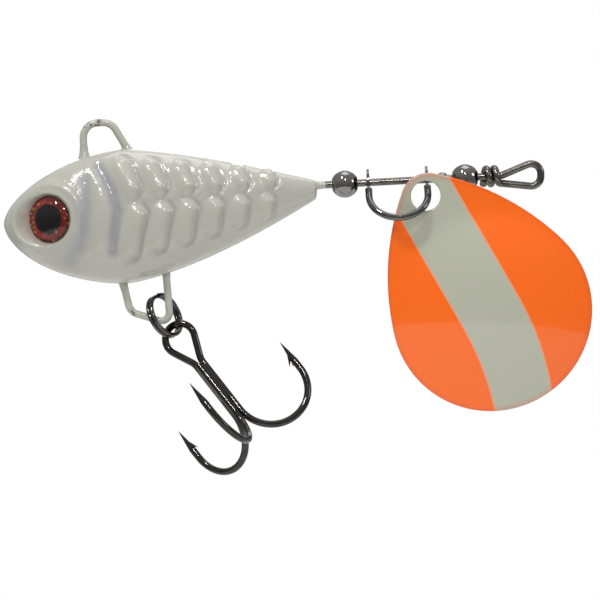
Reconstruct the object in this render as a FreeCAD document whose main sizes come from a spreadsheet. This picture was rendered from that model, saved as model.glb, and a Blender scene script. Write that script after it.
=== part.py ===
import FreeCAD, Part
import math
import os

# A tail spinner: a cast lead fish on a bent wire, with a treble hook below it and, on the
# wire behind its tail, two beads and a spoon-shaped blade that turns on a clevis.
# Frame: the origin is the middle of the line-tie loop on the fish's back, +X runs from nose
# to tail along the tail shaft, +Z is up and the fish's left side faces -Y. Millimetres.

Vector = FreeCAD.Vector
doc = FreeCAD.newDocument("tail_spinner")

# ------------------------------------------------------------------ driving dimensions
SIZES = {
    # the through-wire and the places that it sets
    "wire_diameter": 0.8,
    "shaft_drop": 6.4,  # from the line tie down to the tail shaft
    "wire_clearance": 0.03,  # between two stretches of one wire that pass each other
    "tie_width": 4.7,
    "tie_rise": 1.58,
    "tie_bend": 1.6,
    "tie_root": 3.2,  # how deep the wire's cut end lies below the back
    "tie_shoulder": 0.75,  # the top of the rear leg and its buried foot, behind the tie's middle
    "tie_foot": 3.35,
    "foot_depth": 2.0,
    "buried_bend": 3.0,
    "hanger_front": 0.9,  # where the hook hanger leaves the belly, in front and behind
    "hanger_back": 5.55,
    "hanger_depth": 20.53,  # its lowest corner, below the line tie
    "hanger_slope": 0.36,
    "hanger_bend": 0.9,
    "hanger_kick": 0.45,  # how far the lowest corner is behind the rear leg's top
    "front_kick": 0.85,  # and the front corner behind the front leg's top
    "front_bend": 1.3,
    "belly_cover": 1.3,  # how deep inside the belly the front leg's bend lies
    "shaft_bend": 2.0,
    "loop_start": 42.5,
    "loop_length": 4.4,
    "loop_opening": 2.4,
    "loop_bend": 1.05,
    "loop_top_bend": 1.2,
    "loop_taper": 0.2,  # how far the loop's lower corner is ahead of its upper one
    "loop_lift": 0.15,
    "wrap_turns": 2,
    "wrap_start": 0.35,  # ahead of the loop's start
    "wrap_entry": 0.3,
    # the lead body
    "nose": -11.4,
    "nose_height": -8.8,
    "deepest": 1.6,  # the station of the deepest and thickest section
    "tail": 22.2,
    "back_height": -1.33,
    "belly_height": -15.9,
    "body_thickness": 8.2,
    "tail_top": -5.75,
    "tail_bottom": -8.0,
    "tail_thickness": 1.7,
    # the eyes
    "eye_diameter": 5.0,
    "eye_station": -6.3,
    "eye_height": -8.6,
    "eye_setting": 2.3,  # from the middle plane to the back of the foil
    "eye_turn": 28.0,  # the angle by which an eye faces forward
    "foil_thickness": 0.12,
    "dome_rise": 0.95,
    "socket_clearance": 0.05,
    "socket_flare": 0.75,
    "socket_length": 1.9,
    # the beads
    "bead_diameter": 3.0,
    "spacer_diameter": 1.45,
    "bead_clearance": 0.09,  # round the wire, on the radius
    "front_bead_station": 25.6,
    "spacer_station": 36.15,
    "rear_bead_station": 38.6,
    # the clevis
    "clevis_front": 28.0,  # outer face of the front ear
    "clevis_width": 6.6,
    "clevis_depth": 5.2,  # from the shaft to the middle of the bow's wire
    "clevis_wire": 0.76,
    "ear_diameter": 3.0,
    "ear_thickness": 0.26,
    "clevis_clearance": 0.08,
    "bow_lap": 0.5,  # how far the bow's ends are sunk into the ears
    "clevis_turn": 40.0,  # how far the bow has swung out to the left side at rest
    # the blade
    "blade_length": 28.0,
    "blade_width": 21.8,
    "blade_thickness": 0.45,
    "blade_hole": 3.2,
    "hole_setback": 2.45,  # from the blade's narrow end to the middle of the hole
    "blade_shoulder": 2.9,  # radius of the narrow end
    "blade_flank": 28.0,  # radius of each side
    "dish_radius": 28.0,
    "dish_lip": 7.0,
    "lip_reach": 1.2,  # beyond the rim, where the dish would be quite flat
    "hole_inset": 0.4,  # the hole's middle, ahead of the clevis' rear face
    "blade_drop": 1.8,  # the hole's middle, below the shaft
    "blade_offset": 1.95,  # and out from it
    "blade_swing": 27.2,  # how far the blade has swung back, and tipped, at rest
    "blade_tip": 10.0,
    # the split ring
    "ring_diameter": 4.6,  # on the middle of its wire
    "ring_wire": 0.45,
    "ring_gap": 0.02,
    "seat_inset": 0.38,  # where the ring bears on the hanger, ahead of its lowest corner
    "seat_rise": 0.55,
    "ring_slack": 0.4,  # how far that seat is off the ring's middle
    "ring_lean": 24.0,
    "ring_turn": 60.0,
    # the treble hook
    "hook_wire": 0.78,
    "hook_eye": 3.36,  # on the middle of its wire
    "hook_length": 14.3,  # from the middle of the eye to the bottom of the bends
    "hook_bend": 4.1,
    "hook_point_height": 6.6,  # from the middle of the eye to the tips
    "point_length": 2.6,
    "tip_radius": 0.02,
    "barb_length": 1.1,
    "barb_root": 0.22,  # radius
    "barb_setback": 0.5,
    "barb_lean": 29.0,
    "shank_gap": 0.06,
    "eye_neck": 3.2,  # where the two shanks meet below the eye
    "neck_bend": 2.0,
    "eye_slack": 0.75,  # from the ring's wire to the middle of the eye
    "eye_bearing": 49.0,  # and the way that it lies, from straight down towards the tail
    "hook_lean": 35.5,
    "hook_tilt": 13.5,
    "hook_roll": 12.0,
    "braze_diameter": 1.3,
    "braze_length": 4.5,
    "braze_start": 0.8,  # below the neck
    "third_start": 0.5,
    # the drawing itself
    "overrun": 1.0,  # how far a cutting tool passes the piece that it cuts
    "straight": 0.02,  # the shortest straight run left between two bends
}

sheet = doc.addObject("Spreadsheet::Sheet", "sizes")
for row, (name, value) in enumerate(SIZES.items(), start=1):
    sheet.set(f"A{row}", name)
    sheet.set(f"B{row}", str(value))
    sheet.setAlias(f"B{row}", name)
doc.recompute()


def size(name):
    return float(sheet.get(name))


# ------------------------------------------------------------------ helpers
def finish(thing, label):
    """Names a sub-part; the label is also its file's name."""
    thing.Label = label
    return thing


def made(name, shape, placement=None):
    """A Part::Feature that holds a shape which no single primitive gives."""
    feature = doc.addObject("Part::Feature", name)
    feature.Shape = shape
    if placement is not None:
        feature.Placement = placement
    return feature


def bound(kind, name, **expressions):
    """A Part primitive whose properties follow cells of the sheet."""
    thing = doc.addObject(kind, name)
    for prop, expression in expressions.items():
        thing.setExpression(prop, expression)
    return thing


def place(thing, x="0", y="0", z="0"):
    """Ties a primitive's origin to cells of the sheet."""
    thing.setExpression(".Placement.Base.x", x)
    thing.setExpression(".Placement.Base.y", y)
    thing.setExpression(".Placement.Base.z", z)
    return thing


def cut(name, base, tool):
    thing = doc.addObject("Part::Cut", name)
    thing.Base = base
    thing.Tool = tool
    return thing


def fuse(name, pieces):
    thing = doc.addObject("Part::MultiFuse", name)
    thing.Shapes = pieces
    return thing


def rounded(points, radii):
    """A path through points: straight runs, with an arc of the given radius at each corner."""
    edges = []
    start = points[0]
    for before, corner, after, radius in zip(points, points[1:], points[2:], radii):
        into = (corner - before).normalize()
        out = (after - corner).normalize()
        turn = into.getAngle(out)
        reach = radius * math.tan(turn / 2)
        arc_start = corner - into * reach
        arc_end = corner + out * reach
        inward = (out - into).normalize()
        middle = corner + inward * radius * (1 / math.cos(turn / 2) - 1)
        if start.distanceToPoint(arc_start) > 1e-4:
            edges.append(Part.LineSegment(start, arc_start).toShape())
        edges.append(Part.Arc(arc_start, middle, arc_end).toShape())
        start = arc_end
    edges.append(Part.LineSegment(start, points[-1]).toShape())
    return Part.Wire(edges)


def rod(points, radii, diameter):
    """Round wire along a rounded path."""
    path = rounded(points, radii)
    profile = Part.Wire(Part.makeCircle(diameter / 2, points[0], points[1] - points[0]))
    return path.makePipeShell([profile], True, False)


def frame_of(along, across, origin):
    """A placement whose local X is along, and whose local Z is square to along and across."""
    first = Vector(along).normalize()
    third = first.cross(across).normalize()
    second = third.cross(first)
    matrix = FreeCAD.Matrix(
        first.x, second.x, third.x, origin.x,
        first.y, second.y, third.y, origin.y,
        first.z, second.z, third.z, origin.z,
        0, 0, 0, 1,
    )
    return FreeCAD.Placement(matrix)


def about(point, axis, degrees):
    """A turn about an axis through a point."""
    return FreeCAD.Placement(Vector(), FreeCAD.Rotation(axis, degrees), point)


def in_plane(x, z):
    return Vector(x, 0, z)


# ------------------------------------------------------------------ the through-wire
wire = size("wire_diameter")
shaft_height = -size("shaft_drop")
coil_radius = wire + size("wire_clearance")  # of the wraps, on the middle of the wire


def hanger_corner():
    """The lowest corner of the hook hanger before it is rounded."""
    return in_plane(size("hanger_back") + size("hanger_kick"), -size("hanger_depth"))


def front_corner():
    """Its front corner: the bar between the two slopes down to the lowest one."""
    low = hanger_corner()
    x = size("hanger_front") + size("front_kick")
    return in_plane(x, low.z + (low.x - x) * size("hanger_slope"))


def tie_and_hanger():
    """Corners and bends from the cut end in the back to the start of the rear loop."""
    half_tie = size("tie_width") / 2
    bend = size("tie_bend")
    buried = size("buried_bend")
    back = size("back_height")
    points = [
        in_plane(-half_tie, back - size("tie_root")),
        in_plane(-half_tie, size("tie_rise")),
        in_plane(size("tie_shoulder"), size("tie_rise")),
        in_plane(size("tie_foot"), back - size("foot_depth")),
        in_plane(size("hanger_front"), size("belly_height") + size("belly_cover")),
        front_corner(),
        hanger_corner(),
        in_plane(size("hanger_back"), shaft_height),
        in_plane(size("loop_start"), shaft_height),
    ]
    radii = [bend, bend, buried, buried, size("front_bend"), size("hanger_bend"), size("shaft_bend")]
    return points, radii


def rear_loop():
    """Up, round two corners and back below the shaft, where the wraps begin."""
    start = size("loop_start")
    tip = start + size("loop_length")
    half_opening = (size("loop_opening") + wire) / 2
    points = [
        in_plane(tip, shaft_height + half_opening),
        in_plane(tip - size("loop_taper"), shaft_height - half_opening + size("loop_lift")),
        in_plane(start + size("wire_clearance"), shaft_height - coil_radius),
    ]
    return points, [size("loop_top_bend"), size("loop_bend"), size("loop_bend")]


def wraps():
    """Turns round the shaft, running forward: an eight-sided coil with rounded corners."""
    sides = 8
    step = math.radians(360 / sides)
    reach = coil_radius / math.cos(step / 2)
    pitch = wire + 2 * size("wire_clearance")
    points = []
    for n in range(int(sides * size("wrap_turns"))):
        angle = step * (n + 0.5)
        points.append(Vector(
            size("loop_start") - size("wrap_start") - pitch * n / sides,
            -reach * math.sin(angle),
            shaft_height - reach * math.cos(angle),
        ))
    # a little tighter than the coil, so that a straight run is left between two corners
    tight = coil_radius - 2 * size("straight")
    return points, [size("wrap_entry")] + [tight] * (len(points) - 1)


def through_wire():
    """Line tie, hook hanger, tail shaft and rear loop, all bent from one wire."""
    points = []
    radii = []
    for run in (tie_and_hanger, rear_loop, wraps):
        run_points, run_radii = run()
        points += run_points
        radii += run_radii
    return rod(points, radii, wire)


through = finish(made("through_wire", through_wire()), "through_wire")


# ------------------------------------------------------------------ the lead body
# Ellipses stand across the body. Ahead of the deepest section the back, the belly and the
# sides follow superellipses to the nose; behind it they taper to the blunt tail.
# Each pair of powers is for the nose and for the tail.
NOSE_STATIONS = (0.985, 0.94, 0.86, 0.74, 0.56, 0.3, 0.0)
TAIL_STATIONS = (0.14, 0.3, 0.47, 0.64, 0.81, 0.94, 1.0)
BACK_POWERS = (1.6, 1.4)
BELLY_POWERS = (1.8, 1.45)
SIDE_POWERS = (1.9, 1.7)


def section(number, station, top, bottom, thickness):
    """One elliptical section, on its edge across the body, tied to the sheet."""
    ellipse = bound(
        "Part::Ellipse",
        f"section_{number}",
        MajorRadius=f"(({top}) - ({bottom})) / 2",
        MinorRadius=f"({thickness}) / 2",
    )
    ellipse.Placement.Rotation = FreeCAD.Rotation(Vector(0, 1, 0), -90)
    return place(ellipse, station, "0", f"(({top}) + ({bottom})) / 2")


def nose_curve(share, powers):
    """A superellipse: 0 at the tip of the nose, 1 at the deepest section."""
    power = powers[0]
    return f"pow(1 - pow({share}; {power}); {1 / power:.5f})"


def tail_curve(share, powers):
    """0 at the deepest section, 1 at the tail."""
    return f"pow({share}; {powers[1]})"


def body_sections():
    sections = []
    for share in NOSE_STATIONS:
        rise, fall, swell = (
            nose_curve(share, powers) for powers in (BACK_POWERS, BELLY_POWERS, SIDE_POWERS)
        )
        sections.append(section(
            len(sections),
            f"sizes.deepest - {share} * (sizes.deepest - sizes.nose)",
            f"sizes.nose_height + (sizes.back_height - sizes.nose_height) * {rise}",
            f"sizes.nose_height + (sizes.belly_height - sizes.nose_height) * {fall}",
            f"sizes.body_thickness * {swell}",
        ))
    for share in TAIL_STATIONS:
        drop, lift, taper = (
            tail_curve(share, powers) for powers in (BACK_POWERS, BELLY_POWERS, SIDE_POWERS)
        )
        sections.append(section(
            len(sections),
            f"sizes.deepest + {share} * (sizes.tail - sizes.deepest)",
            f"sizes.back_height + (sizes.tail_top - sizes.back_height) * {drop}",
            f"sizes.belly_height + (sizes.tail_bottom - sizes.belly_height) * {lift}",
            f"sizes.body_thickness + (sizes.tail_thickness - sizes.body_thickness) * {taper}",
        ))
    return sections


def eye_frame(side):
    """The seat of an eye: local Z points out of it. Side is -1 on the left, 1 on the right."""
    seat = Vector(size("eye_station"), side * size("eye_setting"), size("eye_height"))
    turn = math.radians(size("eye_turn"))
    outward = Vector(-math.sin(turn), side * math.cos(turn), 0)
    return FreeCAD.Placement(seat, FreeCAD.Rotation(Vector(0, 0, 1), outward))


def socket(side, name):
    """The flared pocket that an eye is glued into."""
    pocket = bound(
        "Part::Cone",
        name,
        Radius1="sizes.eye_diameter / 2 + sizes.socket_clearance",
        Radius2="sizes.eye_diameter / 2 + sizes.socket_clearance + sizes.socket_flare",
        Height="sizes.socket_length",
    )
    pocket.Placement = eye_frame(side)
    return pocket


loft = doc.addObject("Part::Loft", "body_skin")
loft.Sections = body_sections()
loft.Solid = True
loft.Ruled = False
pocketed = cut("pocketed_left", loft, socket(-1, "socket_left"))
pocketed = cut("pocketed_both", pocketed, socket(1, "socket_right"))
casting = finish(cut("casting", pocketed, through), "body_casting")


# ------------------------------------------------------------------ the eyes
def eye(side, word):
    """A printed foil disc on the seat, and a clear dome cast on it."""
    foil = bound(
        "Part::Cylinder",
        f"foil_{word}",
        Radius="sizes.eye_diameter / 2",
        Height="sizes.foil_thickness",
    )
    foil.Placement = eye_frame(side)
    radius = size("eye_diameter") / 2
    rise = size("dome_rise")
    ball = (radius**2 + rise**2) / (2 * rise)
    lift = eye_frame(side).multiply(
        FreeCAD.Placement(Vector(0, 0, size("foil_thickness")), FreeCAD.Rotation())
    )
    sphere = doc.addObject("Part::Sphere", f"dome_ball_{word}")
    sphere.setExpression(
        "Radius",
        "(pow(sizes.eye_diameter / 2; 2) + pow(sizes.dome_rise; 2)) / (2 * sizes.dome_rise)",
    )
    sphere.Placement = lift.multiply(
        FreeCAD.Placement(Vector(0, 0, rise - ball), FreeCAD.Rotation())
    )
    blank = bound(
        "Part::Cylinder",
        f"dome_blank_{word}",
        Radius="sizes.eye_diameter / 2",
        Height="sizes.dome_rise * 2",
    )
    blank.Placement = lift
    dome = doc.addObject("Part::Common", f"dome_{word}")
    dome.Base = sphere
    dome.Tool = blank
    return [finish(foil, f"eye_foil_{word}"), finish(dome, f"eye_dome_{word}")]


eyes = eye(-1, "left") + eye(1, "right")


# ------------------------------------------------------------------ beads on the shaft
ALONG_SHAFT = FreeCAD.Rotation(Vector(0, 1, 0), 90)


def bead(name, diameter, station):
    """A ball bored to run on the shaft."""
    ball = bound("Part::Sphere", f"{name}_ball", Radius=f"sizes.{diameter} / 2")
    place(ball, f"sizes.{station}", "0", "-sizes.shaft_drop")
    bore = bound(
        "Part::Cylinder",
        f"{name}_bore",
        Radius="sizes.wire_diameter / 2 + sizes.bead_clearance",
        Height=f"sizes.{diameter} + 2 * sizes.overrun",
    )
    bore.Placement.Rotation = ALONG_SHAFT
    place(bore, f"sizes.{station} - sizes.{diameter} / 2 - sizes.overrun", "0", "-sizes.shaft_drop")
    return finish(cut(f"{name}_bored", ball, bore), name)


def stop():
    """A small ball pressed on the shaft, which keeps the clevis off the rear bead."""
    ball = bound("Part::Sphere", "stop_ball", Radius="sizes.spacer_diameter / 2")
    place(ball, "sizes.spacer_station", "0", "-sizes.shaft_drop")
    return finish(cut("stop_pressed", ball, through), "spacer_bead")


beads = [
    bead("front_bead", "bead_diameter", "front_bead_station"),
    stop(),
    bead("rear_bead", "bead_diameter", "rear_bead_station"),
]


# ------------------------------------------------------------------ the clevis
def clevis_bow():
    """The bow hangs straight down from the shaft's height and is then swung out."""
    ear = size("ear_thickness")
    first = size("clevis_front") + ear / 2
    last = size("clevis_front") + size("clevis_width") - ear / 2
    top = -size("ear_diameter") / 2 + size("bow_lap")
    low = -size("clevis_depth")
    points = [Vector(first, 0, top), Vector(first, 0, low), Vector(last, 0, low), Vector(last, 0, top)]
    bend = (last - first) / 2 - size("straight")
    swing = about(Vector(), Vector(1, 0, 0), -size("clevis_turn"))
    lift = FreeCAD.Placement(in_plane(0, shaft_height), FreeCAD.Rotation())
    return made("clevis_bow", rod(points, [bend, bend], size("clevis_wire")), lift.multiply(swing))


def clevis():
    """A bow of round wire whose flattened, bored ends run on the shaft."""
    pieces = [clevis_bow()]
    stations = {
        "front": "sizes.clevis_front",
        "back": "sizes.clevis_front + sizes.clevis_width - sizes.ear_thickness",
    }
    for word, station in stations.items():
        disc = bound(
            "Part::Cylinder",
            f"ear_{word}",
            Radius="sizes.ear_diameter / 2",
            Height="sizes.ear_thickness",
        )
        disc.Placement.Rotation = ALONG_SHAFT
        pieces.append(place(disc, station, "0", "-sizes.shaft_drop"))
    hole = bound(
        "Part::Cylinder",
        "clevis_hole",
        Radius="sizes.wire_diameter / 2 + sizes.clevis_clearance",
        Height="sizes.clevis_width + 2 * sizes.overrun",
    )
    hole.Placement.Rotation = ALONG_SHAFT
    place(hole, "sizes.clevis_front - sizes.overrun", "0", "-sizes.shaft_drop")
    return finish(cut("clevis_bored", fuse("clevis_blank", pieces), hole), "clevis")


clevis_part = clevis()


# ------------------------------------------------------------------ the spinner blade
# The blade's own frame: origin at the middle of its hole, X towards its wide end and Z out
# of its raised side.
def blade_frame():
    swing = math.radians(size("blade_swing"))
    tip = math.radians(size("blade_tip"))
    along = Vector(math.sin(swing) * math.cos(tip), math.sin(tip), -math.cos(swing) * math.cos(tip))
    across = Vector(math.cos(swing), 0, math.sin(swing))
    hole = Vector(
        size("clevis_front") + size("clevis_width") - size("hole_inset"),
        -size("blade_offset"),
        shaft_height - size("blade_drop"),
    )
    return frame_of(along, across, hole)


def blade_outline():
    """A small round end, a large round end and a long arc along each side that touches both."""
    small = size("blade_shoulder")
    big = size("blade_width") / 2
    flank = size("blade_flank")
    small_middle = small - size("hole_setback")
    big_middle = size("blade_length") - size("hole_setback") - big
    between = big_middle - small_middle
    to_small = flank - small
    to_big = flank - big
    along = (to_small**2 - to_big**2 + between**2) / (2 * between)
    down = math.sqrt(to_small**2 - along**2)
    centre = Vector(small_middle + along, -down, 0)
    small_centre = Vector(small_middle, 0, 0)
    big_centre = Vector(big_middle, 0, 0)
    small_touch = centre + (small_centre - centre).normalize() * flank
    big_touch = centre + (big_centre - centre).normalize() * flank
    halfway = centre + ((small_touch + big_touch) * 0.5 - centre).normalize() * flank

    def mirrored(point):
        return Vector(point.x, -point.y, 0)

    arcs = [
        Part.Arc(mirrored(small_touch), Vector(small_middle - small, 0, 0), small_touch),
        Part.Arc(small_touch, halfway, big_touch),
        Part.Arc(big_touch, Vector(big_middle + big, 0, 0), mirrored(big_touch)),
        Part.Arc(mirrored(big_touch), mirrored(halfway), mirrored(small_touch)),
    ]
    return Part.Face(Part.Wire([arc.toShape() for arc in arcs])), big_middle


def dished_sheet(middle):
    """A round sheet that is a shallow bowl in the middle and flattens at its rim."""
    thickness = size("blade_thickness")
    bowl = size("dish_radius")
    lip = size("dish_lip")
    rim_radius = size("blade_width") / 2
    lip_middle = rim_radius + size("lip_reach")
    slope = math.asin(lip_middle / (bowl + lip))
    drop = (bowl + lip) * math.cos(slope) - lip
    # the flat rim lies at height zero, so the bowl's sphere is centred below it
    profile = []
    for offset in (thickness / 2, -thickness / 2):
        sphere = bowl + offset
        throat = lip - offset
        centre = Vector(0, 0, -drop)
        lip_centre = Vector(lip_middle, 0, lip)
        top = centre + Vector(0, 0, sphere)
        middle_point = centre + Vector(math.sin(slope / 2), 0, math.cos(slope / 2)) * sphere
        touch = centre + Vector(math.sin(slope), 0, math.cos(slope)) * sphere
        lip_half = lip_centre + Vector(-math.sin(slope / 2), 0, -math.cos(slope / 2)) * throat
        lip_end = lip_centre + Vector(0, 0, -throat)
        outer = Vector(rim_radius * 2, 0, offset)
        profile.append((top, middle_point, touch, lip_half, lip_end, outer))
    upper, lower = profile
    edges = [
        Part.Arc(upper[0], upper[1], upper[2]).toShape(),
        Part.Arc(upper[2], upper[3], upper[4]).toShape(),
        Part.LineSegment(upper[4], upper[5]).toShape(),
        Part.LineSegment(upper[5], lower[5]).toShape(),
        Part.LineSegment(lower[5], lower[4]).toShape(),
        Part.Arc(lower[4], lower[3], lower[2]).toShape(),
        Part.Arc(lower[2], lower[1], lower[0]).toShape(),
        Part.LineSegment(lower[0], upper[0]).toShape(),
    ]
    sheet_face = Part.Face(Part.Wire(edges))
    bowl_solid = sheet_face.revolve(Vector(), Vector(0, 0, 1), 360)
    bowl_solid.translate(Vector(middle, 0, 0))
    return bowl_solid


def spinner_blade():
    outline, middle = blade_outline()
    # the outline is extruded far enough each way to pass through the whole dish
    half = size("blade_width") / 2
    outline.translate(Vector(0, 0, -half))
    shaped = doc.addObject("Part::Common", "blade_shaped")
    shaped.Base = made("blade_sheet", dished_sheet(middle))
    shaped.Tool = made("blade_blank", outline.extrude(Vector(0, 0, 2 * half)))
    hole = bound(
        "Part::Cylinder", "blade_hole_tool", Radius="sizes.blade_hole / 2", Height="sizes.blade_width"
    )
    place(hole, "0", "0", "-sizes.blade_width / 2")
    blade = cut("blade_pierced", shaped, hole)
    blade.Placement = blade_frame()
    return finish(blade, "spinner_blade")


blade_part = spinner_blade()


# ------------------------------------------------------------------ the split ring
# The ring's own frame: origin at its middle, X towards the treble hook, Z along its axis.
def ring_frame():
    lean = math.radians(size("ring_lean"))
    turn = math.radians(size("ring_turn"))
    along = Vector(math.sin(lean), 0, -math.cos(lean))
    level = Vector(-math.cos(lean), 0, -math.sin(lean))
    across = level * math.cos(turn) + Vector(0, -math.sin(turn), 0)
    hang = hanger_corner()
    seat = in_plane(hang.x - size("seat_inset"), hang.z + size("seat_rise"))
    return frame_of(along, across, seat - along * size("ring_slack"))


def split_ring():
    """Two turns of round wire side by side, as a coil."""
    pitch = size("ring_wire") + size("ring_gap")
    radius = size("ring_diameter") / 2
    coil = Part.makeHelix(pitch, 2 * pitch, radius)
    start = Vector(radius, 0, 0)
    profile = Part.Wire(Part.makeCircle(size("ring_wire") / 2, start, Vector(0, 1, 0)))
    ring = Part.Wire(coil).makePipeShell([profile], True, True)
    # centred on its own middle, with the cut ends on the side away from the hook
    centred = FreeCAD.Placement(Vector(0, 0, -pitch), FreeCAD.Rotation(Vector(0, 0, 1), 180))
    return finish(made("split_ring", ring, ring_frame().multiply(centred)), "split_ring")


ring_part = split_ring()


# ------------------------------------------------------------------ the treble hook
# The hook's own frame: origin at the middle of its eye, Z back up from the bends to the eye
# and X across the eye. The third hook points along Y.
def hook_frame():
    lean = math.radians(size("hook_lean"))
    tilt = math.radians(size("hook_tilt"))
    roll = math.radians(size("hook_roll"))
    level = Vector(math.sin(lean), 0, -math.cos(lean))
    towards_left = Vector(0, -1, 0)
    shank = level * math.cos(tilt) + towards_left * math.sin(tilt)
    side = Vector(math.cos(lean), 0, math.sin(lean))
    outward = towards_left * math.cos(tilt) - level * math.sin(tilt)
    across = side * -math.cos(roll) - outward * math.sin(roll)
    bearing = ring_frame().multVec(Vector(size("ring_diameter") / 2, 0, 0))
    way = math.radians(size("eye_bearing"))
    middle = bearing + in_plane(math.sin(way), -math.cos(way)) * size("eye_slack")
    upward = shank * -1
    matrix = FreeCAD.Matrix(
        across.x, upward.cross(across).x, upward.x, middle.x,
        across.y, upward.cross(across).y, upward.y, middle.y,
        across.z, upward.cross(across).z, upward.z, middle.z,
        0, 0, 0, 1,
    )
    return FreeCAD.Placement(matrix)


def bundle_reach():
    """From the middle of the three shanks to the middle of each."""
    return (size("hook_wire") + size("shank_gap")) / math.sqrt(3)


def bundle_middle():
    """The two shanks of the eye lie in the eye's own plane, so the bundle's middle is off it."""
    return Vector(0, bundle_reach() / 2, 0)


def shank_places():
    """Where the three shanks stand, and the way that each hook points."""
    places = []
    for degrees in (-30, 210, 90):
        angle = math.radians(degrees)
        way = Vector(math.cos(angle), math.sin(angle), 0)
        places.append((bundle_middle() + way * bundle_reach(), way))
    return places


def point_foot(shank, way):
    """Where a hook's straight wire ends and its sharpened point begins."""
    foot = shank + way * (2 * size("hook_bend"))
    foot.z = -size("hook_point_height") - size("point_length")
    return foot


def bend_points(shank, way):
    """Corners of one hook from the shank's lower end round the bend to its point."""
    low = Vector(0, 0, -size("hook_length"))
    return [shank + low, shank + way * (2 * size("hook_bend")) + low, point_foot(shank, way)]


def hook_point(shank, way):
    """The sharpened end of one hook, with its barb on the inner side."""
    foot = point_foot(shank, way)
    tip = size("tip_radius")
    up = Vector(0, 0, 1)
    point = Part.makeCone(size("hook_wire") / 2, tip, size("point_length"), foot, up)
    lean = math.radians(size("barb_lean"))
    barb_foot = foot + up * size("barb_setback")
    barb_way = up * -math.cos(lean) - way * math.sin(lean)
    barb = Part.makeCone(size("barb_root"), tip, size("barb_length"), barb_foot, barb_way)
    return point.fuse(barb)


def double_hook():
    """One wire: a hook, a shank, the eye, the other shank and the other hook."""
    (right, right_way), (left, left_way), _ = shank_places()
    bend = size("hook_bend") - size("straight")
    eye_radius = size("hook_eye") / 2
    neck = -size("eye_neck")
    # the eye is the round part of a drop shape that stands on the two shanks
    to_neck = math.hypot(right.x, neck)
    touch = math.atan2(neck, right.x) + math.acos(eye_radius / to_neck)
    right_touch = Vector(math.cos(touch), 0, math.sin(touch)) * eye_radius
    left_touch = Vector(-right_touch.x, 0, right_touch.z)

    def half(shank, way, eye_touch):
        corners = list(reversed(bend_points(shank, way)))
        corners += [Vector(shank.x, shank.y, neck), eye_touch]
        return rounded(corners, [bend, bend, size("neck_bend")])

    left_edges = half(left, left_way, left_touch).Edges
    right_edges = half(right, right_way, right_touch).Edges
    eye_arc = Part.Arc(left_touch, Vector(0, 0, eye_radius), right_touch).toShape()
    path = Part.Wire(left_edges + [eye_arc] + list(reversed(right_edges)))
    start = point_foot(left, left_way)
    profile = Part.Wire(Part.makeCircle(size("hook_wire") / 2, start, Vector(0, 0, -1)))
    bent = path.makePipeShell([profile], True, False)
    points = [hook_point(right, right_way), hook_point(left, left_way)]
    return finish(made("double_hook", bent.multiFuse(points), hook_frame()), "treble_double_hook")


def single_hook():
    """The third hook, laid in the groove between the two shanks."""
    shank, way = shank_places()[2]
    bend = size("hook_bend") - size("straight")
    top = shank - Vector(0, 0, size("eye_neck") + size("third_start"))
    bent = rod([top] + bend_points(shank, way), [bend, bend], size("hook_wire"))
    whole = bent.fuse(hook_point(shank, way))
    return finish(made("single_hook", whole, hook_frame()), "treble_single_hook")


def braze(shanks):
    """The solder that fills the grooves between the three shanks."""
    filler = bound(
        "Part::Cylinder",
        "braze_rod",
        Radius="sizes.braze_diameter / 2",
        Height="sizes.braze_length",
    )
    depth = size("eye_neck") + size("braze_start") + size("braze_length")
    low_end = bundle_middle() - Vector(0, 0, depth)
    filler.Placement = hook_frame().multiply(FreeCAD.Placement(low_end, FreeCAD.Rotation()))
    return finish(cut("braze_filler", filler, fuse("shanks", shanks)), "treble_braze")


hooks = [double_hook(), single_hook()]
braze_part = braze(hooks)

# ------------------------------------------------------------------ check and write
doc.recompute()
parts = [casting, through, *eyes, *beads, clevis_part, blade_part, ring_part, *hooks, braze_part]
for thing in doc.Objects:
    if "Invalid" in thing.State or "Error" in thing.State:
        raise RuntimeError(f"{thing.Name} failed: {thing.State}")
for thing in parts:
    if thing.Shape.isNull() or not thing.Shape.isValid():
        raise RuntimeError(f"{thing.Label} has no valid shape")
os.makedirs("parts", exist_ok=True)
for thing in parts:
    thing.Shape.exportStep(f"parts/{thing.Label}.step")
    box = thing.Shape.BoundBox
    solids = len(thing.Shape.Solids)
    print(f"{thing.Label:20s} solids {solids}  volume {thing.Shape.Volume:9.3f} mm3")
    print(f"    x {box.XMin:7.2f} {box.XMax:7.2f}  y {box.YMin:6.2f} {box.YMax:6.2f}", end="")
    print(f"  z {box.ZMin:7.2f} {box.ZMax:7.2f}")
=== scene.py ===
# %% [markdown]
# # A tail spinner
# A small lead fish on a bent wire, with a treble hook under it and a painted blade that turns
# behind it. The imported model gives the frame: its wire, ring, clevis, hooks and solder keep
# their shapes and get finishes. The cast body, eyes, beads and blade are made here in more
# detail, and collars of paint and full-size barbs are added.

# %% The frame
import math
import bmesh
import bpy
import numpy as np
from mathutils import Matrix, Vector


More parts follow.
